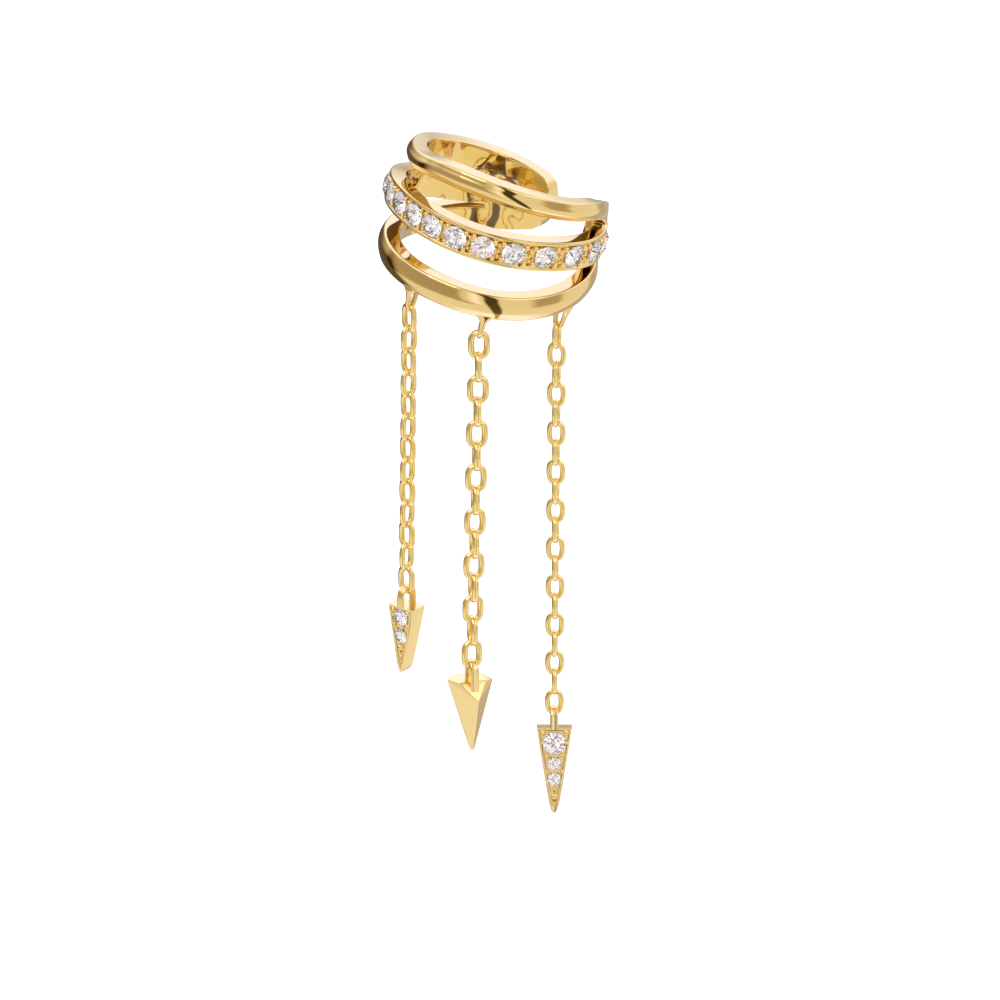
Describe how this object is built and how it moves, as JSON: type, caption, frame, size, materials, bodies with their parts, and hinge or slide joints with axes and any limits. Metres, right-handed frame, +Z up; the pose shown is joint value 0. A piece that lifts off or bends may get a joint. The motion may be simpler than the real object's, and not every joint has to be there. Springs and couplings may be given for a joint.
{
  "type": "ear cuff",
  "caption": "Ear cuff of three fanned bands, the middle one set with round stones, with tapering spikes hanging from cable chains.",
  "frame": {"origin": "middle of the cuff's hollow, where the edge of the ear passes through it", "axes": "+Z up as worn, with the drops hanging along -Z; -Y is the side seen in the picture, with the stones and the drops"},
  "size_m": [0.0121, 0.012, 0.0368],
  "materials": {
    "gold_plate": "polished",
    "clear_stone": "cut and polished"
  },
  "bodies": {
    "cuff": {"cuff_frame": "gold_plate", "band_stone_01": "clear_stone", "band_stone_02": "clear_stone", "band_stone_03": "clear_stone", "band_stone_04": "clear_stone", "band_stone_05": "clear_stone", "band_stone_06": "clear_stone", "band_stone_07": "clear_stone", "band_stone_08": "clear_stone", "band_stone_09": "clear_stone", "band_stone_10": "clear_stone", "band_stone_11": "clear_stone", "band_stone_12": "clear_stone", "band_stone_13": "clear_stone", "band_stone_14": "clear_stone", "left_chain": "gold_plate", "left_end_link": "gold_plate", "middle_chain": "gold_plate", "middle_end_link": "gold_plate", "right_chain": "gold_plate", "right_end_link": "gold_plate"},
    "left_drop": {"left_spike": "gold_plate", "left_spike_stone_1": "clear_stone", "left_spike_stone_2": "clear_stone"},
    "middle_drop": {"middle_spike": "gold_plate"},
    "right_drop": {"right_spike": "gold_plate", "right_spike_stone_1": "clear_stone", "right_spike_stone_2": "clear_stone", "right_spike_stone_3": "clear_stone"}
  },
  "joints": [
    {"name": "left_spike_swing", "type": "hinge", "parent": "cuff", "child": "left_drop", "pos_m": [-0.00479, -0.00308, -0.02069], "axis": [0.7771, -0.6293, 0], "range_deg": [-60, 60]},
    {"name": "middle_spike_swing", "type": "hinge", "parent": "cuff", "child": "middle_drop", "pos_m": [-0.00137, -0.00451, -0.02435], "axis": [0.9397, 0.342, 0], "range_deg": [-60, 60]},
    {"name": "right_spike_swing", "type": "hinge", "parent": "cuff", "child": "right_drop", "pos_m": [0.00298, -0.00253, -0.02795], "axis": [1, 0, 0], "range_deg": [-45, 60]}
  ]
}
